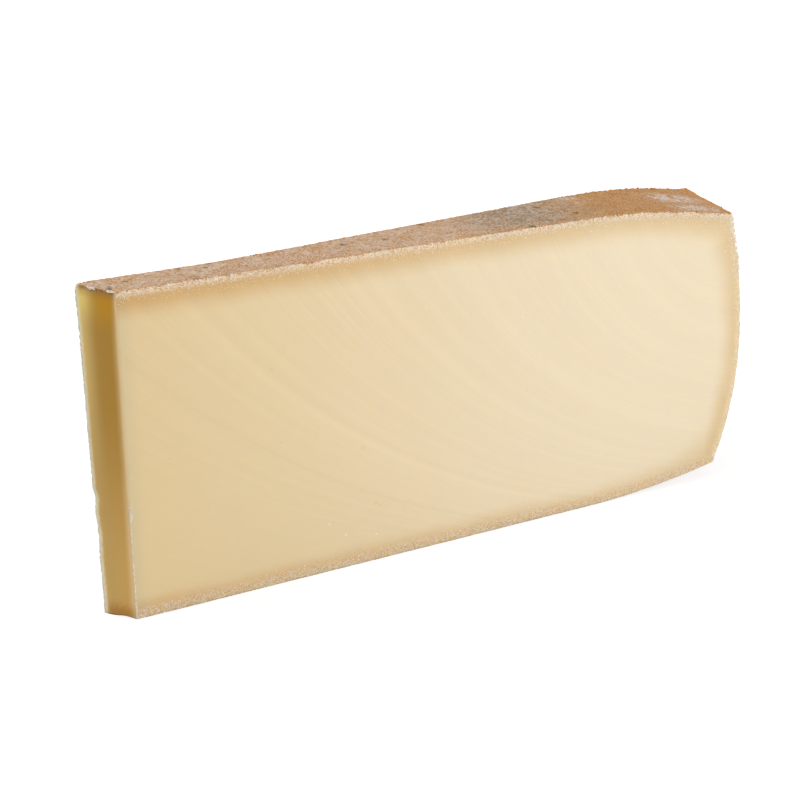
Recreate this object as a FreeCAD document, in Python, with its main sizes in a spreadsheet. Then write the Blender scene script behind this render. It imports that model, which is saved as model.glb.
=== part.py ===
"""A tall wedge of hard mountain cheese, cut from a whole round wheel.

The wheel lies flat, so its top and bottom rinds are level and its rim stands upright.
A knife has made three upright cuts: a long front cut, a back cut that opens at a small
angle from it, and a short slanting cut that took off the tip.  What is left is one
solid: the revolved wheel wherever it lies inside the knife's wedge.

Frame: +X runs along the front cut from the tip to the rim, +Y from the front cut
towards the back cut, +Z up.  The origin is at the bottom centre of the piece's box.
All sizes are in millimetres and degrees.
"""
import FreeCAD, Part
import math
import os
import Sketcher

SIZES = {
    # The whole wheel.
    "wheel_height": 105.0,
    "rim_radius": 299.8,        # at the fullest height of the rim
    "rim_bulge": 7.9,           # how far the rim swells past its two corners
    "bulge_height": 46.0,       # the fullest height of the rim, a little under the middle
    "shoulder_width": 56.9,     # the rinds slope away towards the rim over this width
    "top_drop": 6.4,
    "bottom_rise": 5.3,
    # The knife's cuts.
    "front_offset": 79.3,       # how far the front cut passes from the wheel's axis
    "cut_length": 232.6,        # along the front cut, from the tip to the fullest rim
    "tip_top_thickness": 14.2,
    "tip_bottom_thickness": 9.6,
    "tip_lean": 6.4,            # the tip cut slants: its back edge lies further out
    "even_length": 37.0,        # the back cut runs level with the front cut this far
    "back_angle": 6.3,          # and then opens away from it
    "knife_edge_radius": 0.8,   # the soft edge between the front cut and the tip cut
    "overrun": 12.0,            # how far the knife passes beyond the rim
}

START, END, CENTRE = 1, 2, 3    # the points of a sketched line or arc
ORIGIN = (-1, 1)                # the sketch's own origin
ACROSS, UPRIGHT = -1, -2        # the sketch's own axes


def make_sheet(document):
    """Write the driving sizes into a spreadsheet, each under its own name."""
    sheet = document.addObject("Spreadsheet::Sheet", "Sizes")
    for row, (name, value) in enumerate(SIZES.items(), start=1):
        sheet.set("A%d" % row, name)
        sheet.set("B%d" % row, str(value))
        sheet.setAlias("B%d" % row, name)
    document.recompute()
    return sheet


def add_sketch(body, name, plane_role):
    """Attach a new sketch to one of the body's own origin planes."""
    sketch = body.newObject("Sketcher::SketchObject", name)
    plane = next(item for item in body.Origin.OriginFeatures if item.Role == plane_role)
    sketch.AttachmentSupport = [(plane, "")]
    sketch.MapMode = "FlatFace"
    return sketch


def add_size(sketch, kind, places, name, start_value, formula=None):
    """Add a dimension and bind it to the spreadsheet."""
    index = sketch.addConstraint(Sketcher.Constraint(kind, *places, start_value))
    sketch.renameConstraint(index, name)
    sketch.setExpression("Constraints." + name, formula or "Sizes." + name)


def join_in_a_ring(sketch, edges, smooth):
    """Join each edge's end to the next edge's start, smoothly at the pairs named."""
    for edge, following in zip(edges, edges[1:] + edges[:1]):
        kind = "Tangent" if (edge, following) in smooth else "Coincident"
        sketch.addConstraint(Sketcher.Constraint(kind, edge, END, following, START))


def arc_through(centre, start, end):
    """A counter-clockwise arc about a centre, from start to end."""
    upward = FreeCAD.Vector(0, 0, 1)
    circle = Part.Circle(FreeCAD.Vector(*centre, 0), upward, math.dist(centre, start))
    start_angle = math.atan2(start[1] - centre[1], start[0] - centre[0])
    end_angle = math.atan2(end[1] - centre[1], end[0] - centre[0])
    return Part.ArcOfCircle(circle, start_angle, end_angle)


def line_through(start, end):
    return Part.LineSegment(FreeCAD.Vector(*start, 0), FreeCAD.Vector(*end, 0))


def radius_of_arc(run, rise):
    """The radius of an arc that leaves its tangent by `rise` over a length of `run`."""
    return (run ** 2 + rise ** 2) / (2 * rise)


def draw_wheel_section(sketch, size):
    """Half the wheel's upright section: flat rinds, sloping shoulders and a full rim."""
    height = size.wheel_height
    rim = size.rim_radius
    fullest = size.bulge_height
    corner = rim - size.rim_bulge
    flat_end = corner - size.shoulder_width
    low_corner = (corner, size.bottom_rise)
    high_corner = (corner, height - size.top_drop)
    fullest_point = (rim, fullest)
    low_rim = radius_of_arc(fullest - size.bottom_rise, size.rim_bulge)
    high_rim = radius_of_arc(high_corner[1] - fullest, size.rim_bulge)
    bottom_slope = radius_of_arc(size.shoulder_width, size.bottom_rise)
    top_slope = radius_of_arc(size.shoulder_width, size.top_drop)
    outline = [
        line_through((0, height), (0, 0)),
        line_through((0, 0), (flat_end, 0)),
        arc_through((flat_end, bottom_slope), (flat_end, 0), low_corner),
        arc_through((rim - low_rim, fullest), low_corner, fullest_point),
        arc_through((rim - high_rim, fullest), fullest_point, high_corner),
        arc_through((flat_end, height - top_slope), high_corner, (flat_end, height)),
        line_through((flat_end, height), (0, height)),
    ]
    axis, bottom, low_shoulder, lower_rim, upper_rim, high_shoulder, top = [
        sketch.addGeometry(edge, False) for edge in outline
    ]
    # The shoulders run smoothly out of the flat rinds, and the rim's two arcs into
    # each other; the rim's two corners stay sharp.
    ring = [axis, bottom, low_shoulder, lower_rim, upper_rim, high_shoulder, top]
    smooth = {(bottom, low_shoulder), (lower_rim, upper_rim), (high_shoulder, top)}
    join_in_a_ring(sketch, ring, smooth)
    sketch.addConstraint(Sketcher.Constraint("Coincident", axis, END, *ORIGIN))
    sketch.addConstraint(Sketcher.Constraint("Vertical", axis))
    sketch.addConstraint(Sketcher.Constraint("Horizontal", bottom))
    sketch.addConstraint(Sketcher.Constraint("Horizontal", top))
    sketch.addConstraint(Sketcher.Constraint("Horizontal", lower_rim, CENTRE, lower_rim, END))
    sketch.addConstraint(Sketcher.Constraint("Vertical", bottom, END, top, START))
    sketch.addConstraint(Sketcher.Constraint("Vertical", low_shoulder, END, upper_rim, END))

    add_size(sketch, "DistanceY", (axis, END, axis, START), "wheel_height", height)
    add_size(sketch, "DistanceX", (*ORIGIN, lower_rim, END), "rim_radius", rim)
    add_size(sketch, "DistanceY", (*ORIGIN, lower_rim, END), "bulge_height", fullest)
    add_size(sketch, "DistanceX", (lower_rim, START, lower_rim, END), "rim_bulge", size.rim_bulge)
    add_size(sketch, "DistanceX", (low_shoulder, START, low_shoulder, END),
             "shoulder_width", size.shoulder_width)
    add_size(sketch, "DistanceY", (low_shoulder, START, low_shoulder, END),
             "bottom_rise", size.bottom_rise)
    add_size(sketch, "DistanceY", (high_shoulder, START, high_shoulder, END),
             "top_drop", size.top_drop)


def make_wheel(document, size):
    """The whole wheel, standing on the XY plane about the Z axis."""
    body = document.addObject("PartDesign::Body", "Wheel")
    sketch = add_sketch(body, "WheelSection", "XZ_Plane")
    draw_wheel_section(sketch, size)
    document.recompute()
    turn = body.newObject("PartDesign::Revolution", "WheelTurn")
    turn.Profile = sketch
    turn.ReferenceAxis = (sketch, ["V_Axis"])
    turn.Angle = 360
    document.recompute()
    return body


def draw_knife_plan(sketch, size, thickness_name):
    """The wedge seen from above: front cut, back cut and the slanting tip cut.

    The front cut ends at the tip, at a set length from where it meets the fullest rim.
    Both long cuts run on past the rim, where the wheel itself ends the cheese.
    """
    thickness = getattr(size, thickness_name)
    soft = size.knife_edge_radius
    past_rim = size.rim_radius + size.overrun
    front = -size.front_offset
    back = front + thickness
    rim_x = math.sqrt(size.rim_radius ** 2 - front ** 2)
    tip_x = rim_x - size.cut_length
    tip_back = (tip_x - size.tip_lean, back)
    opening = (tip_x + size.even_length, back)
    front_end = (math.sqrt(past_rim ** 2 - front ** 2), front)
    spread = (front_end[0] - opening[0]) * math.tan(math.radians(size.back_angle))
    back_end = (front_end[0], back + spread)
    # The edge between the tip cut and the front cut is rounded: its arc touches both.
    tip_angle = math.atan2(thickness, -size.tip_lean)
    reach = soft / math.tan(tip_angle / 2)
    round_start = (tip_x + reach * math.cos(tip_angle), front + reach * math.sin(tip_angle))
    round_end = (tip_x + reach, front)
    round_centre = (tip_x + reach, front + soft)
    outline = [
        line_through(round_end, front_end),
        line_through(front_end, back_end),
        line_through(back_end, opening),
        line_through(opening, tip_back),
        line_through(tip_back, round_start),
        arc_through(round_centre, round_start, round_end),
    ]
    front_cut, past_cut, back_cut, even_cut, tip_cut, soft_edge = [
        sketch.addGeometry(edge, False) for edge in outline
    ]
    upward = FreeCAD.Vector(0, 0, 1)
    middle = FreeCAD.Vector(0, 0, 0)
    rim = sketch.addGeometry(Part.Circle(middle, upward, size.rim_radius), True)
    beyond = sketch.addGeometry(Part.Circle(middle, upward, past_rim), True)
    rim_mark = sketch.addGeometry(Part.Point(FreeCAD.Vector(rim_x, front, 0)), True)
    tip_mark = sketch.addGeometry(Part.Point(FreeCAD.Vector(tip_x, front, 0)), True)

    ring = [front_cut, past_cut, back_cut, even_cut, tip_cut, soft_edge]
    join_in_a_ring(sketch, ring, {(tip_cut, soft_edge), (soft_edge, front_cut)})
    sketch.addConstraint(Sketcher.Constraint("Horizontal", front_cut))
    sketch.addConstraint(Sketcher.Constraint("Horizontal", even_cut))
    for circle in (rim, beyond):
        sketch.addConstraint(Sketcher.Constraint("Coincident", circle, CENTRE, *ORIGIN))
    for point, edge in (((rim_mark, START), rim), ((rim_mark, START), front_cut),
                        ((tip_mark, START), tip_cut), ((tip_mark, START), front_cut),
                        ((front_cut, END), beyond), ((back_cut, START), beyond)):
        sketch.addConstraint(Sketcher.Constraint("PointOnObject", *point, edge))

    add_size(sketch, "Radius", (rim,), "rim_radius", size.rim_radius)
    add_size(sketch, "Radius", (beyond,), "past_rim", past_rim,
             "Sizes.rim_radius + Sizes.overrun")
    add_size(sketch, "Radius", (soft_edge,), "knife_edge_radius", soft)
    add_size(sketch, "DistanceY", (front_cut, END, *ORIGIN), "front_offset", size.front_offset)
    add_size(sketch, "DistanceX", (tip_mark, START, rim_mark, START),
             "cut_length", size.cut_length)
    add_size(sketch, "DistanceY", (tip_mark, START, tip_cut, START), thickness_name, thickness)
    add_size(sketch, "DistanceX", (tip_cut, START, tip_mark, START), "tip_lean", size.tip_lean)
    add_size(sketch, "DistanceX", (tip_mark, START, even_cut, START),
             "even_length", size.even_length)
    add_size(sketch, "Angle", (ACROSS, START, back_cut, END), "back_angle",
             math.radians(size.back_angle))


def make_knife_wedge(document, size):
    """What the knife's cuts leave of the wheel, before the rim and rinds bound it."""
    body = document.addObject("PartDesign::Body", "KnifeWedge")
    lower_plan = add_sketch(body, "PlanAtBottom", "XY_Plane")
    draw_knife_plan(lower_plan, size, "tip_bottom_thickness")
    upper_plan = add_sketch(body, "PlanAtTop", "XY_Plane")
    upper_plan.setExpression("AttachmentOffset.Base.z", "Sizes.wheel_height")
    draw_knife_plan(upper_plan, size, "tip_top_thickness")
    document.recompute()
    loft = body.newObject("PartDesign::AdditiveLoft", "WedgeLoft")
    loft.Profile = lower_plan
    loft.Sections = [upper_plan]
    loft.Ruled = True
    document.recompute()
    return body


def make_cheese(document, size):
    """The wheel wherever it lies inside the knife's wedge."""
    wheel = make_wheel(document, size)
    knife_wedge = make_knife_wedge(document, size)
    cheese = document.addObject("Part::MultiCommon", "Cheese")
    cheese.Shapes = [wheel, knife_wedge]
    cheese.Label = "cheese"
    document.recompute()
    # The piece's frame has its origin at the bottom centre of the piece's own box.
    box = cheese.Shape.optimalBoundingBox()
    cheese.Placement.Base = FreeCAD.Vector(-box.Center.x, -box.Center.y, -box.ZMin)
    document.recompute()
    return cheese


def check_document(document, pieces):
    """Stop if any object failed or a piece isn't one sound solid."""
    for item in document.Objects:
        if "Invalid" in item.State or "Error" in item.State:
            raise RuntimeError("%s failed: %s" % (item.Name, item.State))
    for piece in pieces:
        if piece.Shape.isNull() or not piece.Shape.isValid() or len(piece.Shape.Solids) != 1:
            raise RuntimeError("%s isn't one sound solid" % piece.Label)


def main():
    document = FreeCAD.newDocument("CheeseWedge")
    size = make_sheet(document)
    pieces = [make_cheese(document, size)]
    check_document(document, pieces)
    os.makedirs("parts", exist_ok=True)
    for piece in pieces:
        piece.Shape.exportStep("parts/%s.step" % piece.Label)
        box = piece.Shape.optimalBoundingBox()
        litres = piece.Shape.Volume / 1e6
        print("%s: %.2f x %.2f x %.2f mm, %.4f litres" % (
            piece.Label, box.XLength, box.YLength, box.ZLength, litres))


main()
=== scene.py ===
import math

import bmesh
import bpy
import numpy as np
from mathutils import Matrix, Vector, noise


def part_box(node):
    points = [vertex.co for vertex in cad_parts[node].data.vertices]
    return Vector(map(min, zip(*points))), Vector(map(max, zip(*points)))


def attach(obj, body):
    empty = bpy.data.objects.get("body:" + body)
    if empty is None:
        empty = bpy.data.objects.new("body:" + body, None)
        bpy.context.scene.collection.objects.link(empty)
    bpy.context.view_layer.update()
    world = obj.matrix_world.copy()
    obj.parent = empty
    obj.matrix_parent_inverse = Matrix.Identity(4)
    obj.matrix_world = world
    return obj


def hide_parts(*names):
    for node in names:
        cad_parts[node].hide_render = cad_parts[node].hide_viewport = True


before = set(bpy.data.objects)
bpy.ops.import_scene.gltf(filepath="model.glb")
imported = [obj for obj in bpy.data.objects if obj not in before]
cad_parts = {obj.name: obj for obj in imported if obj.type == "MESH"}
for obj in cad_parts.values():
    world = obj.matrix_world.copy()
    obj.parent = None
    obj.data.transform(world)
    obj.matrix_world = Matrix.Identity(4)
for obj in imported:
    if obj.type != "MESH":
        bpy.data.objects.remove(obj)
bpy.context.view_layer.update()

LOW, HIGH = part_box("cheese")

# The wheel and the knife's cuts, in millimetres, as the solid has them.
MM = 0.001
HEIGHT = HIGH.z / MM
TIP_LEAN = 6.4
CUT_LENGTH = 232.6
RIM_RADIUS = 299.8
FRONT_OFFSET = 79.3
BULGE_HEIGHT = 46.0
FLAT_RADIUS = 235.0
CORNER_RADIUS = 291.9
TOP_ROUND = 256.1
BASE_ROUND = 308.1
RIM_ROUND_HIGH = 179.1
RIM_ROUND_LOW = 108.8
TIP_BASE_THICKNESS = 9.6
TIP_TOP_THICKNESS = 14.2
EVEN_LENGTH = 37.0
BACK_SLOPE = math.tan(math.radians(6.3))

# Lengths on the cheese are counted from the foot of the edge between front and tip cut.
FOOT = Vector((LOW.x + TIP_LEAN * MM, LOW.y, 0.0))
AXIS_X = CUT_LENGTH - math.sqrt(RIM_RADIUS ** 2 - FRONT_OFFSET ** 2)
AXIS_Y = FRONT_OFFSET
SETTLE_ROUNDS = 14

# The cutting wire's arcs. Their centre starts, drifts and bends with every 100 mm of radius,
# and slides evenly past the last bend. The first row is along the cheese, the second is up.
ARC_CENTRE = ((206.7, 66.6, -21.0, -0.38),
              (99.4, 31.3, 11.3, 0.88))
ARC_FIRST_GUESS = 160.0
ARC_LAST_BEND = 250.0
ARC_ROUNDS = 30

# The axes of the uncut block: the lengths that each round of cuts makes of an edge, and how
# strongly the cuts are drawn to both ends.
ALONG, ACROSS, UP = 0, 1, 2
BLOCK_CUTS = {ALONG: ((15, 15), 0.35), UP: ((8, 13), 0.6), ACROSS: ((48,), 0.45)}


# ---------------------------------------------------------------- the cut wheel's form

def fall(beyond, radius):
    """How far a round has dropped after running this far past its start."""
    return radius - np.sqrt(radius ** 2 - beyond ** 2)


def rind_heights(radius):
    """Heights of the bottom and top rinds at a distance from the wheel's axis."""
    beyond = np.clip(radius, FLAT_RADIUS, CORNER_RADIUS) - FLAT_RADIUS
    return fall(beyond, BASE_ROUND), HEIGHT - fall(beyond, TOP_ROUND)


def rim_radius(z):
    """The wheel's radius at a height."""
    rise = z - BULGE_HEIGHT
    return RIM_RADIUS - fall(rise, np.where(rise > 0, RIM_ROUND_HIGH, RIM_ROUND_LOW))


def slice_thickness(x, z):
    """Distance between the front cut and the back cut."""
    share = z / HEIGHT
    tip = TIP_BASE_THICKNESS + (TIP_TOP_THICKNESS - TIP_BASE_THICKNESS) * share
    swell = 0.6 * np.sin(np.pi * np.clip(share, 0, 1)) * np.exp(-np.clip(x, 0, None) / 30)
    return tip + swell + BACK_SLOPE * np.clip(x - EVEN_LENGTH, 0, None)


def settle_in_wheel(along, across, up):
    """Places for points given by their shares of length, thickness and height."""
    x, z = along * CUT_LENGTH, up * HEIGHT
    for _ in range(SETTLE_ROUNDS):
        y = across * slice_thickness(x, z)
        start = -TIP_LEAN * across
        end = AXIS_X + np.sqrt(rim_radius(z) ** 2 - (AXIS_Y - y) ** 2)
        x = start + along * (end - start)
        base, top = rind_heights(np.hypot(x - AXIS_X, y - AXIS_Y))
        z = base + up * (top - base)
    return x, y, z


def depths_below_faces(x, y, z):
    """How deep points lie under each of the six faces."""
    radius = np.hypot(x - AXIS_X, y - AXIS_Y)
    base, top = rind_heights(radius)
    thickness = slice_thickness(x, z)
    return {
        "under_top": top - z,
        "over_base": z - base,
        "off_rim": rim_radius(z) - radius,
        "off_tip": x + TIP_LEAN * y / thickness,
        "off_front": y,
        "off_back": thickness - y,
    }


def by_faces(depth, **reaches):
    """1 at the named face, or where the named faces meet, fading away over their reaches."""
    return np.exp(-sum((depth[face] / reach) ** 2 for face, reach in reaches.items()))


def rough(x, y, z, grain, seed):
    """Soft random height from -1 to 1, with bumps about as wide as the grain."""
    shift = Vector((seed * 17.3, seed * 5.1, seed * 9.7))
    points = zip((x / grain).tolist(), (y / grain).tolist(), (z / grain).tolist())
    return np.array([noise.noise(Vector(point) + shift) for point in points])


def wire_sweep(x, z):
    """Which arc of the cutting wire a point of a long cut lies on, by the arc's radius.

    The wire was drawn through from the upper right, and its arcs grow and drift as it goes.
    """
    radius = np.hypot(x - ARC_FIRST_GUESS, z - ARC_FIRST_GUESS)
    for _ in range(ARC_ROUNDS):
        share = np.minimum(radius, ARC_LAST_BEND) / 100
        over = np.clip(radius - ARC_LAST_BEND, 0, None)
        centre_x, centre_z = [
            start + drift * share + bend * share ** 2 + slide * over
            for start, drift, bend, slide in ARC_CENTRE
        ]
        reached = np.hypot(x - centre_x, z - centre_z)
        radius = radius + 0.35 * (reached - radius)
    return radius


def closer_at_ends(share, pull):
    """Spread evenly spaced shares so that they stand closer near both ends."""
    return share - pull * np.sin(2 * np.pi * share) / (2 * np.pi)


# ---------------------------------------------------------------- mesh helpers

def deselect_all():
    for thing in bpy.context.selected_objects:
        thing.select_set(False)


def edit(piece):
    deselect_all()
    piece.select_set(True)
    bpy.context.view_layer.objects.active = piece
    bpy.ops.object.mode_set(mode="EDIT")


def finish_edit():
    bpy.ops.object.mode_set(mode="OBJECT")


def cut_across(piece, axis, counts):
    """Cut every edge that runs along the axis into equal lengths, in several rounds."""
    edit(piece)
    bpy.ops.mesh.select_mode(type="EDGE")
    for count in counts:
        block = bmesh.from_edit_mesh(piece.data)
        for edge in block.edges:
            run = edge.verts[1].co - edge.verts[0].co
            edge.select_set(abs(run[axis]) > 0.9 * run.length)
        bmesh.update_edit_mesh(piece.data)
        bpy.ops.mesh.subdivide(number_cuts=count - 1, smoothness=0)
    finish_edit()


def read_points(mesh):
    points = np.empty(len(mesh.vertices) * 3)
    mesh.vertices.foreach_get("co", points)
    return points.reshape(-1, 3)


def write_points(mesh, x, y, z):
    points = np.stack([x * MM + FOOT.x, y * MM + FOOT.y, z * MM], axis=1)
    mesh.vertices.foreach_set("co", points.ravel())
    mesh.update()


def mark_points(mesh, name, values):
    mark = mesh.attributes.new(name, "FLOAT", "POINT")
    mark.data.foreach_set("value", np.asarray(values, dtype=np.float32))


# ---------------------------------------------------------------- the wedge

# The back edge of the tip: height, and how far it stands out or is broken away.
TIP_BACK_EDGE = [(0, -0.3), (4, -0.9), (14, -0.8), (20, -0.95), (23, -1.5), (26, -2.0),
                 (29.5, -1.4), (33, -0.6), (36, -1.15), (38.5, -2.2), (39.8, -2.0), (41, 0.1),
                 (45.5, -0.45), (52, -0.3), (60, -0.2), (93, -0.2), (96.5, 0.25), (101, 0.5),
                 (104, 0.0), (105, -1.1)]

# The rind's sand, from its swells to its grains: how wide, and the seed of each.
SAND_WIDTHS = ((9.0, 1), (2.6, 2), (1.2, 3))


def carve(x, y, z):
    """Give points of the plain cut wheel its grain, its wavering cuts and its worn edges."""
    depth = depths_below_faces(x, y, z)
    grain = sum(rough(x, y, z, width, seed) * 0.16 for width, seed in SAND_WIDTHS)

    # Rinds: a sandy grain over shallow swells, pressed inwards only.
    sink = np.clip(0.08 + grain, 0, None)
    z = z - sink * by_faces(depth, under_top=1.4)
    z = z + 0.4 * sink * by_faces(depth, over_base=1.4)
    press = np.clip(0.15 + 1.3 * grain, 0, None) * by_faces(depth, off_rim=1.4)
    radius = np.hypot(x - AXIS_X, y - AXIS_Y)
    x = x - press * (x - AXIS_X) / radius
    y = y - press * (y - AXIS_Y) / radius

    # The rind stands up in a low lip along the rim's upper edge, highest at the back.
    lip = by_faces(depth, off_rim=4.0, under_top=3.0)
    z = z + lip * (0.25 + 0.45 * by_faces(depth, off_back=8.0))
    x = x + 0.6 * lip

    # The tip's lower edge is hollow in the middle.
    hollow = np.exp(-((depth["off_front"] - 3.2) / 2.2) ** 2)
    z = z + 0.5 * hollow * by_faces(depth, off_tip=5, over_base=2.5)

    # Long cuts: nearly flat, with the wire's faint ridges and a slow waver. The tip cut wavers too.
    sweep = wire_sweep(x, z)
    ridge = rough(sweep, x * 0.02, z * 0.02, 3.4, 4) + rough(sweep, x * 0.01, z * 0.01, 9.0, 5)
    skin = np.clip(0.14 + 0.02 * ridge + 0.1 * rough(x, y, z, 42.0, 6), 0, None)
    y = y + skin * by_faces(depth, off_front=3)
    y = y - skin * by_faces(depth, off_back=3)
    tip_skin = np.clip(0.12 + 0.12 * rough(x, y, z, 16.0, 7), 0, None)
    x = x + tip_skin * by_faces(depth, off_tip=3)
    x = x + 0.75 * by_faces(depth, off_tip=2.5, off_front=4.0)

    # The back edge of the tip is chipped low down and has a small lip under the top rind.
    heights, steps = zip(*TIP_BACK_EDGE)
    broken = np.interp(z, heights, steps) + 0.3 * rough(x, y, z, 1.3, 8)
    y = y + broken * by_faces(depth, off_tip=2.2, off_back=2.6)

    # Every edge is eased a little, unevenly where the rind crumbled under the knife, and most
    # along the upper part of the tip's front edge.
    crumble = 0.5 + 0.5 * rough(x, y, z, 1.5, 9)
    by_corner = depth["off_tip"] ** 2 + depth["off_front"] ** 2
    soft = 0.15 + 0.3 * crumble + 0.5 * np.exp(-by_corner / 6) * (0.4 + 0.6 * (z > 42))
    pairs = (("off_tip", "off_rim"), ("off_front", "off_back"), ("over_base", "under_top"))
    nearest = [np.minimum(depth[a], depth[b]) for a, b in pairs]
    soft = np.where(depth["over_base"] < 3, 0.35 * soft, soft)
    inset = np.clip(soft - np.stack(nearest), 0, None)
    length = np.sqrt((inset ** 2).sum(axis=0))
    share = np.divide(inset.max(axis=0), length, out=np.ones_like(length), where=length > 0)
    ease = inset * (1 - share)
    sign = [np.where(depth[a] < depth[b], 1, -1) for a, b in pairs]
    return x + ease[0] * sign[0], y + ease[1] * sign[1], z + ease[2] * sign[2]


def make_wedge():
    """One closed block, cut into small faces and settled between the rinds and the cuts."""
    bpy.ops.mesh.primitive_cube_add(size=1, location=(0.5, 0.5, 0.5))
    wedge = bpy.context.object
    wedge.name = "gruyere_wedge"
    bpy.ops.object.transform_apply(location=True)
    for axis, (rounds, _) in BLOCK_CUTS.items():
        cut_across(wedge, axis, rounds)
    mesh = wedge.data
    shares = read_points(mesh)
    centres = np.empty(len(mesh.polygons) * 3)
    mesh.polygons.foreach_get("center", centres)
    centres = centres.reshape(-1, 3)

    along, across, up = [
        closer_at_ends(shares[:, axis], BLOCK_CUTS[axis][1]) for axis in (ALONG, ACROSS, UP)
    ]
    x, y, z = settle_in_wheel(along, across, up)
    for name, values in depths_below_faces(x, y, z).items():
        mark_points(mesh, name, values)
    mark_points(mesh, "sweep", wire_sweep(x, z))
    mark_points(mesh, "tone", np.full(len(x), 0.5))
    write_points(mesh, *carve(x, y, z))

    for finish in (PASTE, TIP_PASTE, RIND):
        mesh.materials.append(finish)
    at_start = centres < 0.001
    at_end = centres > 0.999
    on_tip = at_start[:, ALONG]
    on_rind = at_end[:, ALONG] | at_start[:, UP] | at_end[:, UP]
    mesh.polygons.foreach_set("material_index", (on_tip * 1 + on_rind * 2).astype(np.int32))
    deselect_all()
    wedge.select_set(True)
    bpy.context.view_layer.objects.active = wedge
    bpy.ops.object.shade_smooth_by_angle(angle=math.radians(50))
    return wedge


# ---------------------------------------------------------------- crumbs

def one_grain():
    """Points and faces of one rough grain."""
    deselect_all()
    bpy.ops.mesh.primitive_ico_sphere_add(subdivisions=1, radius=1)
    grain = bpy.context.object
    points = read_points(grain.data)
    faces = np.array([face.vertices[:] for face in grain.data.polygons])
    bpy.data.objects.remove(grain)
    return points, faces


def random_turns(rng, count):
    """One random rotation matrix each."""
    quaternion = rng.normal(size=(count, 4))
    w, a, b, c = (quaternion / np.linalg.norm(quaternion, axis=1, keepdims=True)).T
    rows = [[1 - 2 * (b * b + c * c), 2 * (a * b - c * w), 2 * (a * c + b * w)],
            [2 * (a * b + c * w), 1 - 2 * (a * a + c * c), 2 * (b * c - a * w)],
            [2 * (a * c - b * w), 2 * (b * c + a * w), 1 - 2 * (a * a + b * b)]]
    return np.array(rows).transpose(2, 0, 1)


def scatter_grains(name, places, sizes, finish, rng):
    """Join one uneven grain for each place into a single mesh."""
    shape, faces = one_grain()
    count = len(places)
    bumps = 1 + rng.uniform(-0.28, 0.28, (count, len(shape), 1))
    stretch = rng.uniform(0.65, 1.25, (count, 1, 3))
    grains = shape[None] * bumps * stretch * sizes[:, None, None]
    grains = np.einsum("nij,nkj->nki", random_turns(rng, count), grains) + places[:, None]
    all_faces = faces[None] + (np.arange(count) * len(shape))[:, None, None]
    mesh = bpy.data.meshes.new(name)
    mesh.vertices.add(count * len(shape))
    mesh.loops.add(count * len(faces) * 3)
    mesh.polygons.add(count * len(faces))
    mesh.loops.foreach_set("vertex_index", all_faces.ravel().astype(np.int32))
    starts = np.arange(count * len(faces), dtype=np.int32) * 3
    mesh.polygons.foreach_set("loop_start", starts)
    mesh.polygons.foreach_set("loop_total", np.full(len(starts), 3, dtype=np.int32))
    flat = grains.reshape(-1, 3)
    write_points(mesh, flat[:, 0], flat[:, 1], flat[:, 2])
    mesh.update(calc_edges=True)
    mesh.validate()
    mark_points(mesh, "tone", np.repeat(rng.uniform(size=count), len(shape)))
    mesh.materials.append(finish)
    piece = bpy.data.objects.new(name, mesh)
    bpy.context.collection.objects.link(piece)
    return piece


def settle_grains(x, y, z, size, lift):
    """Set grains on the carved surface, lifted by a share of their size along each axis."""
    x, y, z = carve(x, y, z)
    places = np.stack([x, y, z], axis=1) + np.asarray(lift) * size[:, None]
    reach = size[:, None] * 1.1
    low = np.array([-TIP_LEAN, 0.0, 0.0]) + reach
    high = np.array([HIGH.x - FOOT.x, HIGH.y - FOOT.y, HIGH.z]) / MM - reach
    return np.clip(places, low, high)


# Grains along the rind's edges on a long cut: beside which rind and how many, how their
# distances from it are drawn, and the smallest and largest grain.
CRUMB_BANDS = [
    ("top", 1900, "exponential", (1.1,), 0.13, 0.30),
    ("top", 800, "triangular", (0.8, 1.4, 5.2), 0.12, 0.25),
    ("top", 30, "uniform", (4, 9.0), 0.10, 0.20),
    ("base", 240, "exponential", (0.8,), 0.18, 0.38),
    ("base", 900, "triangular", (0, 2.2, 5.0), 0.16, 0.38),
    ("base", 40, "uniform", (4, 8.0), 0.12, 0.24),
    ("rim", 750, "exponential", (1.4,), 0.16, 0.40),
]


def make_rind_crumbs():
    """Pale grains where the knife broke the rind, along both long cuts and the tip cut."""
    rng = np.random.default_rng(4)
    places, sizes = [], []

    def band(across, face, count, draw, spread, smallest, largest):
        """Grains along one rind's edge of a cut, each some way into the cut."""
        into = getattr(rng, draw)(*spread, count)
        ends = {"top": 1.0, "base": 0.0}
        along = np.ones(count) if face == "rim" else rng.uniform(0, 1, count)
        up = np.full(count, ends[face]) if face in ends else rng.beta(1.2, 0.8, count)
        x, y, z = settle_in_wheel(along, np.full(count, across), up)
        z = z + into * {"top": -1, "base": 1, "rim": 0}[face]
        x = x - into * (face == "rim")
        size = rng.uniform(smallest, largest, count)
        places.append(settle_grains(x, y, z, size, (0.0, 0.35 - 0.7 * across, 0.0)))
        sizes.append(size)

    for across in (0.0, 1.0):
        for row in CRUMB_BANDS:
            band(across, *row)

    # A few larger grains up the rim's front edge, and clumps along the top of the tip.
    count = 60
    x, y, z = settle_in_wheel(np.ones(count), np.zeros(count), rng.uniform(0.78, 0.99, count))
    size = rng.uniform(0.25, 0.5, count)
    places.append(settle_grains(x, y, z, size, (0.9, 0.2, 0.0)))
    sizes.append(size)
    count = 44
    clumps = rng.choice([0.06, 0.14, 0.55, 0.62], count) + rng.normal(0, 0.05, count)
    x, y, z = settle_in_wheel(np.zeros(count), np.clip(clumps, 0, 1), np.ones(count))
    size = rng.uniform(0.18, 0.40, count)
    places.append(settle_grains(x, y, z - rng.exponential(0.15, count), size, (0.3, 0.0, 0.45)))
    sizes.append(size)
    return scatter_grains("rind_crumbs", np.concatenate(places), np.concatenate(sizes), CRUMB, rng)


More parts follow.
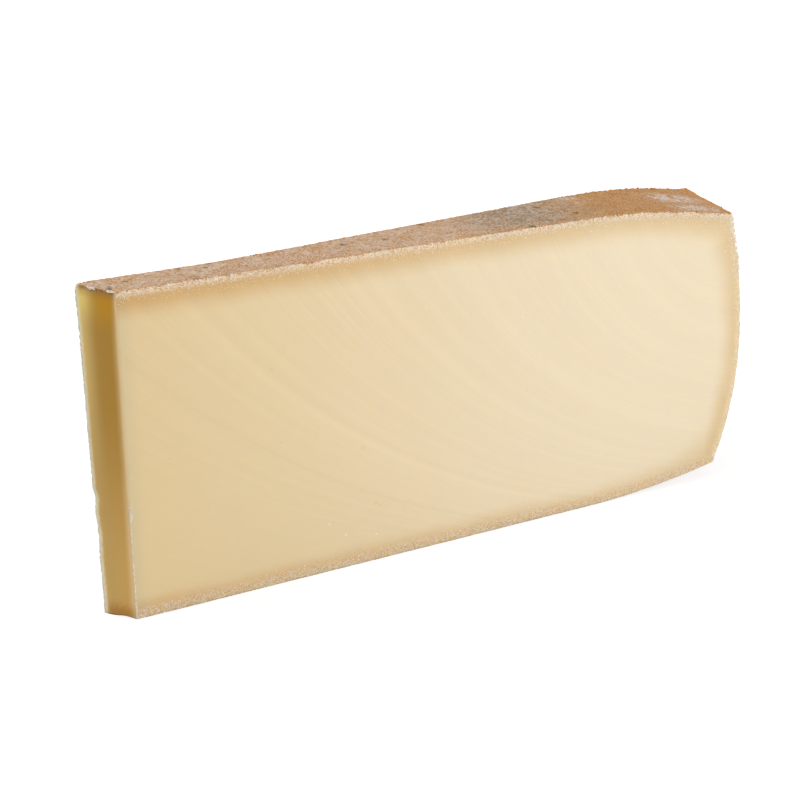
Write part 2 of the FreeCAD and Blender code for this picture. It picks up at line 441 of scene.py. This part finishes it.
def make_rind_grit():
    """Sandy grains over the top rind, closer together along its cut edges."""
    rng = np.random.default_rng(9)
    count = 7000
    along = rng.uniform(0, 1, count)
    at_edge = rng.uniform(size=count) < 0.4
    across = np.where(at_edge, rng.beta(0.3, 0.3, count), rng.uniform(0, 1, count))
    x, y, z = settle_in_wheel(along, across, np.ones(count))
    size = rng.uniform(0.16, 0.42, count)
    places = settle_grains(x, y, z, size, (0.0, 0.0, -0.45))

    # Larger ones stand up along the back edge.
    bumps = 170
    along, across = rng.uniform(0, 1, bumps), rng.uniform(0.96, 1.0, bumps)
    x, y, z = settle_in_wheel(along, across, np.ones(bumps))
    size = np.append(size, rng.uniform(0.2, 0.5, bumps))
    places = np.append(places, settle_grains(x, y, z, size[-bumps:], (0.0, -0.4, -0.3)), axis=0)
    places[-bumps:, 2] += 0.12
    return scatter_grains("rind_grit", places, size, RIND, rng)


def make_frayed_edge():
    """Torn flakes of pale fat along the tip's front and back edges, and a lump at its foot."""
    rng = np.random.default_rng(12)
    count = 460
    flecks = 80
    ridge = rng.uniform(0.4, 38, count - flecks)
    height = np.concatenate([ridge, rng.uniform(33.5, 38.5, flecks)])
    size = rng.uniform(0.09, 0.22, count)
    x = 1.05 + rng.normal(0, 0.08, count)
    y = 0.22 + rng.normal(0, 0.06, count)
    x[-flecks:] += rng.uniform(0, 0.7, flecks)
    y[-flecks:] -= 0.1
    places = np.stack([x, np.maximum(y, size * 1.3), height], axis=1)

    fringe = 520
    x, y, z = settle_in_wheel(np.zeros(fringe), np.ones(fringe), rng.uniform(0.01, 0.98, fringe))
    size = np.append(size, rng.uniform(0.12, 0.34, fringe))
    x = x + np.abs(rng.normal(0, 0.25, fringe))
    places = np.append(places, settle_grains(x, y, z, size[-fringe:], (-0.2, 0.4, 0.0)), axis=0)

    lump = np.array([[-5.9, 9.1, 0.5], [-5.2, 8.6, 0.35], [-5.6, 9.2, 1.3]])
    places = np.append(places, lump, axis=0)
    size = np.append(size, (0.5, 0.35, 0.3))
    return scatter_grains("frayed_edge", places, size, FAT, rng)


# ---------------------------------------------------------------- finishes

def tint(red, green, blue):
    """A colour given in the usual 0 to 255 steps, as the shader counts it."""
    share = [value / 255 for value in (red, green, blue)]
    return (*[s / 12.92 if s <= 0.04045 else ((s + 0.055) / 1.055) ** 2.4 for s in share], 1.0)


class Signal:
    """A shader output. Sums and products of signals and numbers add their Math nodes."""

    def __init__(self, tree, socket=None):
        self.tree = tree
        self.socket = socket

    def node(self, kind, settings=None, inputs=None, output=0):
        """Add a node: its settings first, then the values or links of its sockets."""
        made = self.tree.nodes.new(kind)
        for name, value in (settings or {}).items():
            setattr(made, name, value)
        for name, value in (inputs or {}).items():
            if isinstance(value, Signal):
                self.tree.links.new(value.socket, made.inputs[name])
            else:
                made.inputs[name].default_value = value
        return Signal(self.tree, made.outputs[output] if len(made.outputs) else None)

    def math(self, operation, *values):
        return self.node("ShaderNodeMath", {"operation": operation}, dict(enumerate(values)))

    def vector(self, operation, other, socket=1, output=0):
        """This place or direction worked on by another vector, or by a number on its own socket."""
        settings = {"operation": operation}
        return self.node("ShaderNodeVectorMath", settings, {0: self, socket: other}, output)

    def __add__(self, other):
        return self.math("ADD", self, other)

    def __radd__(self, other):
        return self.math("ADD", other, self)

    def __sub__(self, other):
        return self.math("SUBTRACT", self, other)

    def __rsub__(self, other):
        return self.math("SUBTRACT", other, self)

    def __mul__(self, other):
        return self.math("MULTIPLY", self, other)

    def __rmul__(self, other):
        return self.math("MULTIPLY", other, self)

    def __truediv__(self, other):
        return self.math("DIVIDE", self, other)

    def most(self, other):
        return self.math("MAXIMUM", self, other)

    def least(self, other):
        return self.math("MINIMUM", self, other)

    def rises(self, start, end):
        """0 before the start and 1 past the end, smoothly; falls where the end comes first."""
        low, high = (start, end) if start < end else (end, start)
        levels = {"Value": self, "From Min": low, "From Max": high,
                  "To Min": float(start > end), "To Max": float(start < end)}
        return self.node("ShaderNodeMapRange", {"interpolation_type": "SMOOTHSTEP"}, levels)

    def near(self, middle, reach):
        """1 at the middle, falling to 0 at the reach on either side."""
        return self.math("ABSOLUTE", self - middle).rises(reach, 0.0)

    def noise(self, scale, detail=2.0, roughness=0.5):
        inputs = {"Vector": self, "Scale": scale, "Detail": detail, "Roughness": roughness}
        return self.node("ShaderNodeTexNoise", {"noise_dimensions": "3D"}, inputs)

    def cells(self, scale):
        return self.node("ShaderNodeTexVoronoi", {}, {"Vector": self, "Scale": scale})

    def stretched(self, x, y, z):
        return self.vector("MULTIPLY", (x, y, z))

    def wobbled(self, amount, scale):
        """This place moved about a little, so that outlines drawn by it come out ragged."""
        inputs = {"Vector": self, "Scale": scale, "Detail": 2.0}
        shift = self.node("ShaderNodeTexNoise", {}, inputs, output="Color")
        shift = shift.vector("SUBTRACT", (0.5, 0.5, 0.5)).vector("SCALE", 2 * amount, "Scale")
        return self.vector("ADD", shift.stretched(1, 1, 0))

    def colour(self, below, above):
        """Mix from one colour to another where this signal goes from 0 to 1."""
        settings = {"data_type": "RGBA", "clamp_factor": True}
        return self.node("ShaderNodeMix", settings, {0: self, 6: below, 7: above}, output=2)

    def tinted(self, colour, by):
        """This colour multiplied by another where the mask is 1."""
        settings = {"data_type": "RGBA", "blend_type": "MULTIPLY"}
        return self.node("ShaderNodeMix", settings, {0: by, 6: self, 7: colour}, output=2)

    def bump(self, height, strength=1.0):
        """Raise the surface by this signal, which counts in shares of the height."""
        inputs = {"Height": self, "Distance": height * MM, "Strength": strength}
        return self.node("ShaderNodeBump", {}, inputs)


class Finish:
    """A material under way: its coordinates in millimetres and its marks."""

    def __init__(self, name):
        self.material = bpy.data.materials.new(name)
        self.material.use_nodes = True
        self.tree = self.material.node_tree
        self.tree.nodes.clear()
        start = Signal(self.tree)
        metres = start.node("ShaderNodeTexCoord", output="Object")
        from_foot = metres.vector("ADD", (-FOOT.x, -FOOT.y, 0.0))
        self.place = from_foot.vector("SCALE", 1 / MM, "Scale")
        self.x, self.y, self.z = [
            start.node("ShaderNodeSeparateXYZ", {}, {0: self.place}, axis) for axis in range(3)
        ]
        self.start = start

    def mark(self, name):
        return self.start.node("ShaderNodeAttribute", {"attribute_name": name}, output="Fac")

    def along(self, x, y, z):
        return self.start.node("ShaderNodeCombineXYZ", {}, {0: x, 1: y, 2: z})

    def coat(self, base, roughness, normal, **constants):
        """Finish the material; a constant's name has underscores for its socket's spaces."""
        inputs = {"Base Color": base, "Roughness": roughness, "Normal": normal}
        inputs.update({name.replace("_", " "): value for name, value in constants.items()})
        shader = self.start.node("ShaderNodeBsdfPrincipled", {}, inputs)
        self.start.node("ShaderNodeOutputMaterial", {}, {"Surface": shader})
        return self.material


# Light sinks into the paste and comes out golden.
PASTE_DEPTH = {"Subsurface_Weight": 0.6, "Subsurface_Radius": (1.0, 0.7, 0.4),
               "Subsurface_Scale": 0.004, "Specular_IOR_Level": 0.35}


# Small spots on the front cut: how far along and how high they are, and how wide.
ORANGE_SPOTS = [(79.6, 41, 0.9), (104, 29.9, 0.7), (103.5, 82.7, 0.6), (26, 31.5, 0.6),
                (150.4, 11, 0.6), (141.6, 49.2, 0.6), (77.9, 5.2, 0.6)]
DARK_SPOTS = [(50.7, 48.5, 0.6), (14.4, 50.8, 0.5), (48.4, 73, 0.6), (157.3, 40, 0.5),
              (84.0, 20.6, 0.8), (85.4, 19.4, 0.6)]
WHITE_SPOTS = [(67.2, 16.8, 0.6), (73.1, 11.7, 0.7), (84.2, 9.4, 0.6), (138.8, 75.3, 0.5)]

# Dark flecks on the top rind: how far along and how far back they are, and how wide.
RIND_FLECKS = [(0.2, 3.0, 0.6), (0.5, 3.9, 0.7), (0.7, 4.8, 0.7), (1.0, 5.6, 0.5),
               (25.0, 0.9, 0.6), (26.0, 1.1, 0.7), (27.0, 1.0, 0.5), (7.0, 8.4, 0.9),
               (24.8, 12.3, 0.8), (32.5, 10.1, 0.9), (35.0, 13.4, 1.0), (44.0, 6.0, 0.7),
               (79.4, 12.3, 1.3), (93.6, 11.1, 1.2), (112.0, 20.6, 1.6), (142.5, 1.3, 1.4),
               (152.0, 4.8, 0.8), (156.7, 3.1, 0.9), (157.0, 21.0, 1.1), (164.6, 8.8, 1.4)]


def spots(plane, places):
    """A mask of small round spots: where they are in a plane and how wide."""
    mask = None
    for across, up, width in places:
        from_spot = plane.vector("DISTANCE", (across, up, 0.0), output=1)
        spot = from_spot.rises(width, 0.4 * width)
        mask = spot if mask is None else mask.most(spot)
    return mask


def make_paste():
    """The long cuts: pale waxy paste, golden under the rind, with a sandy line at the rind."""
    finish = Finish("Gruyere paste")
    place = finish.place
    top, base, rim = finish.mark("under_top"), finish.mark("over_base"), finish.mark("off_rim")
    sweep = finish.mark("sweep")
    cloud = place.noise(0.05, 2)
    patch = place.noise(0.8, 3, 0.6)
    # Painted light: the paste gets lighter towards the rim end, mostly for the light from the
    # right, partly its own paler colour there.
    painted_light_to_rim = finish.x.rises(-60.0, 200.0)
    body = painted_light_to_rim.colour(tint(226, 202, 152), tint(238, 223, 194))

    # The wire's arcs: faint pale and dark streaks of uneven width.
    streak_place = finish.along(sweep, finish.x * 0.012, finish.z * 0.012)
    wide = streak_place.noise(0.11, 2).rises(0.40, 0.66)
    fine = streak_place.noise(0.55, 2, 0.6).rises(0.46, 0.66)
    hair = streak_place.noise(1.5, 2, 0.7).rises(0.58, 0.70)
    hair_place = finish.along(sweep * 0.03, finish.x * 0.02, finish.z * 0.02)
    hair = hair * hair_place.noise(1.0, 1).rises(0.42, 0.58)
    calm = (finish.z * 1.6 + finish.x).rises(130.0, 60.0)
    streaks = (wide * 0.4 + fine * 0.25 + hair * 1.3) * (1.0 - 0.65 * calm)
    streaks = streaks + sweep.near(271.4, 4.0) * 0.9 - sweep.near(304.7, 1.5) * 2.0
    streaks = streaks - sweep.near(244.0, 1.2) * 0.4 + sweep.near(192.4, 2.6) * 0.3
    body = body.tinted(tint(250, 249, 248), 0.8 - streaks)
    by_tip = finish.mark("off_tip").rises(7.0, 1.0)
    body = body.tinted(tint(246, 249, 253), by_tip)

    # Golden under the rind, deepest near it.
    wander = cloud * 3.0 + patch * 0.8 - 1.9
    nearer = top.least(rim + 0.5)
    rounded = top * (rim + 0.5) / (top + rim + 0.5)
    gold = (nearer * 0.5 + rounded * 0.5 + wander).rises(10.2, 2.2)
    rounded = base * (rim + 0.5) / (base + rim + 0.5)
    gold = gold.most((rounded + wander).rises(8.0, 1.6) * 0.8)
    gold = gold.most((rim + wander).rises(11.0, 4.0) * base.rises(48.0, 22.0))
    # The gold also gets lighter towards the rim end, painted light from the right.
    body = body.tinted(painted_light_to_rim.colour(tint(236, 211, 177), tint(241, 228, 203)), gold)

    # Sandy line against the rind.
    speck = place.cells(1.7).rises(0.50, 0.24)
    flecks = (patch + place.noise(2.4, 2) - 0.5).rises(0.40, 0.62)
    sand = (top + patch * 2.6 - 1.3).rises(2.9, 0.7)
    sand_base = (base + patch * 3.4 - 1.7).rises(5.0, 1.8)
    sand_rim = (rim + patch * 2.4 - 1.2).rises(3.6, 1.2)
    body = (sand * 0.85).colour(body, flecks.colour(tint(212, 176, 130), tint(244, 230, 208)))
    body = (sand_base * 0.8).colour(body, flecks.colour(tint(219, 177, 125), tint(235, 209, 172)))
    body = (sand_rim * 0.6).colour(body, flecks.colour(tint(230, 198, 146), tint(248, 230, 198)))
    sandy = sand.most(sand_base).most(sand_rim * 0.7)
    body = (sandy * speck * 0.7).colour(body, tint(250, 241, 226))
    # Painted shadow: a thin brown line along the very foot, where the underside's shade falls.
    skin = (base + patch * 0.9 - 0.4).rises(0.7, 0.3) * cloud.rises(0.38, 0.5)
    body = (skin * 0.3).colour(body, tint(198, 156, 110))

    # A few small spots, on the front cut only.
    cut = finish.along(finish.x, finish.z, 0.0)
    front = finish.y.rises(3.0, 2.0)
    orange, dark, white = [
        spots(cut, places) * front for places in (ORANGE_SPOTS, DARK_SPOTS, WHITE_SPOTS)
    ]
    body = (orange * 0.12).colour(body, tint(205, 150, 80))
    body = (dark * 0.12).colour(body, tint(165, 140, 105))
    body = (white * 0.6).colour(body, tint(246, 236, 220))

    relief = streaks * 0.1 + sandy * (speck + patch) - dark * 0.25
    gloss = 0.5 + sandy * 0.3
    return finish.coat(body, gloss, relief.bump(0.2), **PASTE_DEPTH)


def make_tip_paste():
    """The tip cut: older and more golden than the long cuts, painted darker for the shade it lies
    in, with painted light along its back edge, top and front edge, and thin pale edges.
    """
    finish = Finish("Gruyere paste at the tip")
    place = finish.place
    top, base = finish.mark("under_top"), finish.mark("over_base")
    front, back = finish.mark("off_front"), finish.mark("off_back")
    patch = place.noise(0.8, 3, 0.6)
    # Painted shade: the cut's own golden colour is darkened for the shade it lies in, and is
    # lighter towards the foot.
    body = finish.z.rises(75.0, 10.0).colour(tint(188, 143, 56), tint(214, 173, 98))

    # Painted light: paler towards the back edge and the top, where light shines through the thin
    # paste, with amber in the middle under the rind.
    pale = finish.z.rises(40.0, 90.0).colour(tint(203, 174, 108), tint(230, 205, 132))
    body = (back.rises(7.5, 0.0) * 0.95).colour(body, pale)
    body = (top.rises(14.0, 1.0) * back.rises(10.5, 0.5) * 0.95).colour(body, tint(250, 224, 128))
    # Painted light: lighter along the front edge, where light from the lit front cut comes through
    # the corner.
    painted_front_edge_light = finish.z.rises(30.0, 55.0).colour(tint(238, 206, 146), tint(222, 188, 126))
    body = (front.rises(2.6, 0.0) * base.rises(1.0, 5.0) * 0.9).colour(body, painted_front_edge_light)
    amber = top.rises(15.0, 3.0) * back.rises(3.0, 9.5) * front.rises(0.0, 2.5)
    body = (amber * 0.85).colour(body, tint(210, 152, 16))

    # Brown and grainy right under the rind, and brown again along the foot, ending in a painted
    # shadow line at the very foot.
    body = (top.rises(4.5, 1.0) * 0.4).colour(body, tint(156, 114, 58))
    under = (top + patch * 1.4 - 0.7).rises(1.8, 0.5)
    body = (under * 0.75).colour(body, tint(140, 104, 66))
    grains = place.cells(1.2).rises(0.55, 0.2)
    body = (under * grains * 0.5).colour(body, tint(214, 188, 148))
    low = (base + patch * 3.0 - 1.5).rises(6.5, 1.0)
    low = low * (0.3 + 0.7 * front.least(back).rises(0.3, 3.0))
    body = (low * 0.8).colour(body, tint(186, 128, 52))
    # Painted shadow: a dark line at the very foot, where the edge overhangs the table.
    body = (base + patch * 0.6).rises(0.9, 0.4).colour(body, tint(120, 88, 58))

    # Both upright edges are pale in a thin band.
    edge = (back + patch * 0.8 - 0.4).rises(1.9, 0.3)
    body = (edge * 0.85).colour(body, tint(244, 234, 208))
    body = (front.rises(1.2, 0.1) * 0.75).colour(body, tint(222, 200, 160))
    relief = (patch * 0.7 + under * grains * 1.5).bump(0.15, 0.8)
    gloss = 0.42 + under * 0.3
    return finish.coat(body, gloss, relief, **{**PASTE_DEPTH, "Specular_IOR_Level": 0.2})


def make_rind():
    """The washed rind: sandy, pinkish brown, with darker streaks and pale mould."""
    finish = Finish("Washed rind")
    place = finish.place
    x, y = finish.x, finish.y
    mottle = place.noise(0.16, 4, 0.62)
    grit = place.noise(1.5, 3, 0.7)
    warp = mottle * 30.0 - 15.0
    bloom = place.noise(0.32, 3, 0.6).rises(0.40, 0.62)
    body = bloom.colour(tint(204, 160, 117), tint(215, 187, 163))

    # Dull over the middle, browner towards the rim, and warmer along the front edge.
    dull = (x + warp).near(143.0, 30.0) * (0.45 + 0.55 * y.rises(0.0, 12.0))
    body = (dull * 0.88).colour(body, tint(159, 133, 108))
    brown = ((x + warp).rises(153.0, 174.0) + 0.25 * mottle.rises(0.5, 0.7)).least(1.0)
    body = brown.colour(body, bloom.colour(tint(193, 139, 82), tint(196, 152, 104)))
    warm = (x + warp * 0.5).near(150.0, 48.0) * (y + warp * 0.15).rises(9.0, 2.0)
    body = (warm * 0.75).colour(body, tint(196, 148, 92))

    # The rim has low bands, and the rind turns orange at its edges.
    off_rim, under_top = finish.mark("off_rim"), finish.mark("under_top")
    shoulder = under_top.rises(4.0, 1.0)
    on_rim = off_rim.rises(1.5, 0.3) * under_top.rises(0.5, 4.0)
    bands = place.stretched(0.5, 0.5, 1.2).noise(0.15, 4, 0.65)
    banded = bands.rises(0.40, 0.62).colour(tint(190, 143, 99), tint(207, 177, 150))
    body = (on_rim * 0.9).colour(body, banded)
    edge = finish.mark("off_front").least(finish.mark("off_back")).rises(2.2, 0.2)
    edge = edge * (0.5 + 0.4 * x.rises(85.0, 120.0))
    body = edge.most(off_rim.rises(5.0, 1.5) * shoulder * 0.55).colour(body, tint(210, 148, 78))

    # Grey-green and lilac streaks over the middle, brushed lines and small dark pits.
    streaky = place.stretched(0.55, 1.0, 1.0).noise(0.42, 4, 0.68)
    shady = (x + warp).near(150.0, 34.0) * (1 - 0.55 * warm)
    body = (shady * streaky.rises(0.44, 0.56) * 0.9).colour(body, tint(144, 126, 98))
    lilac = place.stretched(0.8, 1.0, 1.0).noise(0.36, 4, 0.7).rises(0.52, 0.62)
    body = (shady * lilac * 0.8).colour(body, tint(192, 176, 166))
    brushed = finish.along(x * 0.92 - y * 0.39, x * 0.03 + y * 0.07, 0.0).noise(0.9, 3, 0.7)
    body = (shady * brushed.rises(0.56, 0.66) * 0.6).colour(body, tint(122, 102, 74))
    body = (shady * brushed.rises(0.44, 0.36) * 0.2).colour(body, tint(206, 182, 160))
    pits = place.stretched(0.7, 1.0, 1.0).noise(0.8, 3, 0.6).rises(0.60, 0.70) * (0.2 + 0.8 * shady)
    body = (pits * 0.85).colour(body, tint(112, 98, 74))

    # White mould in soft patches.
    soft = place.stretched(1.0, 0.5, 1.0).noise(0.42, 6, 0.8)
    beds = y.near(19.0, 9.0).most(y.near(6.0, 6.5) * x.rises(196.0, 209.0) * 0.8)
    mould = (x + warp * 0.3).near(213.0, 17.0) * beds * 1.6
    mould = mould.least(1.0) * soft.rises(0.43, 0.51)
    by_back = (x + warp * 0.3).near(172.0, 9.0) * y.rises(14.0, 22.0)
    mould = mould.most(by_back * soft.rises(0.46, 0.60) * 0.8)
    mould = mould.most(x.near(152.0, 14.0) * y.rises(10.0, 20.0) * soft.rises(0.50, 0.62) * 0.6)
    mould = mould.most(on_rim * soft.rises(0.50, 0.62) * bands.rises(0.46, 0.60) * 0.55)
    body = (mould * 0.95).colour(body, tint(230, 225, 222))
    body = (off_rim.rises(4.0, 1.2) * shoulder * 0.8).colour(body, tint(212, 140, 58))
    body = (on_rim * streaky.rises(0.50, 0.60) * 0.5).colour(body, tint(158, 128, 96))

    # Pale and dark grit, and a few dark flecks.
    tone = finish.mark("tone")
    grit = tone.rises(0.2, 0.8) * 0.3 + grit - 0.15
    grain = 1.0 - 0.45 * on_rim
    pale_grit = brown.colour(tint(238, 219, 197), tint(224, 184, 138))
    body = (grit.rises(0.50, 0.61) * grain * 0.6).colour(body, pale_grit)
    body = (grit.rises(0.47, 0.38) * grain * 0.66).colour(body, tint(166, 115, 68))
    plan = finish.along(x, y, 0.0).wobbled(1.4, 0.9)
    flecks = spots(plan, RIND_FLECKS)
    body = (flecks * 0.75).colour(body, tint(96, 80, 60))
    relief = place.noise(0.5, 2) * 0.5 + grit * 1.6 - pits * 0.8 - flecks
    return finish.coat(body, 0.8, relief.bump(0.45), Specular_IOR_Level=0.25)


def make_crumb():
    """The rind's crumbs: dry and pale, each its own tone."""
    finish = Finish("Crumbled rind")
    tone = finish.mark("tone")
    body = tone.colour(tint(235, 212, 179), tint(251, 242, 226))
    relief = finish.place.noise(2.0, 2).bump(0.1)
    return finish.coat(body, 0.7, relief, Specular_IOR_Level=0.3)


def make_fat():
    """The torn flakes at the tip: drier and whiter than the paste."""
    finish = Finish("Dry pale fat")
    tone = finish.mark("tone")
    body = tone.colour(tint(226, 212, 188), tint(244, 240, 230))
    relief = finish.place.noise(2.4, 2).bump(0.1)
    return finish.coat(body, 0.6, relief, Specular_IOR_Level=0.3)


PASTE = make_paste()
TIP_PASTE = make_tip_paste()
RIND = make_rind()
CRUMB = make_crumb()
FAT = make_fat()

wedge = make_wedge()
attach(wedge, "root")
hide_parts("cheese")
for crumbs in (make_rind_crumbs(), make_rind_grit(), make_frayed_edge()):
    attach(crumbs, "root")


# ---------------------------------------------------------------- table, light and camera

CAMERA_PLACE = Vector((-142.9, -423.7, 244.3))
CAMERA_LENS = 73.4
LOOKS_DOWN = math.radians(21.35)
LOOKS_ALONG = math.radians(60.90)


def seen_straight(start):
    """1 for rays from the camera, straight, mirrored or through glass."""
    seen = [start.node("ShaderNodeLightPath", output=ray) for ray in
            ("Is Camera Ray", "Is Glossy Ray", "Is Transmission Ray")]
    return seen[0].most(seen[1]).most(seen[2])


def make_table():
    """A wide pale table that glows to the eye, so that it shows white where no shadow falls."""
    deselect_all()
    bpy.ops.mesh.primitive_plane_add(size=8, location=(0, 0, 0))
    table = bpy.context.object
    table.name = "table_top"
    material = bpy.data.materials.new("Pale table")
    material.use_nodes = True
    material.node_tree.nodes.clear()
    start = Signal(material.node_tree)
    straight = seen_straight(start)
    cloth = start.node("ShaderNodeBsdfDiffuse", {}, {"Color": (0.86, 0.86, 0.86, 1)})
    veil = start.node("ShaderNodeBsdfDiffuse", {}, {"Color": (0.4, 0.4, 0.4, 1)})
    metres = start.node("ShaderNodeTexCoord", output="Object")
    away = metres.node("ShaderNodeVectorMath", {"operation": "LENGTH"}, {0: metres}, output=1)
    strength = 0.765 + away.rises(0.1, 0.8) * 0.16
    glow = start.node("ShaderNodeEmission", {}, {"Color": (1, 1, 1, 1), "Strength": strength})
    bright = start.node("ShaderNodeAddShader", {}, {0: veil, 1: glow})
    both = start.node("ShaderNodeMixShader", {}, {0: straight, 1: cloth, 2: bright})
    start.node("ShaderNodeOutputMaterial", {}, {"Surface": both})
    table.data.materials.append(material)


def light_room(fill):
    """An even pale room, which shows white behind the cheese."""
    world = bpy.data.worlds.new("Pale room")
    bpy.context.scene.world = world
    world.use_nodes = True
    world.node_tree.nodes.clear()
    start = Signal(world.node_tree)
    straight = seen_straight(start)
    strength = straight * (1 - fill) + fill
    room = start.node("ShaderNodeBackground", {}, {"Color": (1, 1, 1, 1), "Strength": strength})
    start.node("ShaderNodeOutputWorld", {}, {"Surface": room})


def add_softbox(name, place, aim, size, power):
    lamp = bpy.data.lights.new(name, "AREA")
    lamp.shape = "SQUARE"
    lamp.size = size
    lamp.energy = power
    holder = bpy.data.objects.new(name, lamp)
    holder.location = place
    holder.rotation_euler = (Vector(aim) - Vector(place)).to_track_quat("-Z", "Y").to_euler()
    bpy.context.collection.objects.link(holder)


def add_camera():
    camera = bpy.data.cameras.new("Camera")
    camera.sensor_width = 36.0
    camera.lens = CAMERA_LENS
    camera.clip_start = 0.01
    holder = bpy.data.objects.new("Camera", camera)
    holder.location = FOOT + CAMERA_PLACE * MM
    holder.rotation_euler = (math.radians(90) - LOOKS_DOWN, 0.0, LOOKS_ALONG - math.radians(90))
    bpy.context.collection.objects.link(holder)
    bpy.context.scene.camera = holder


make_table()
light_room(fill=0.5)
add_softbox("Key softbox", (0.50, -1.1, 0.44), aim=(0.0, 0.0, 0.05), size=0.9, power=7.9)
add_softbox("Back softbox", (-0.30, 0.42, 1.15), aim=(-0.05, 0.0, 0.05), size=0.8, power=6.4)
add_camera()
bpy.context.scene.view_settings.view_transform = "Standard"
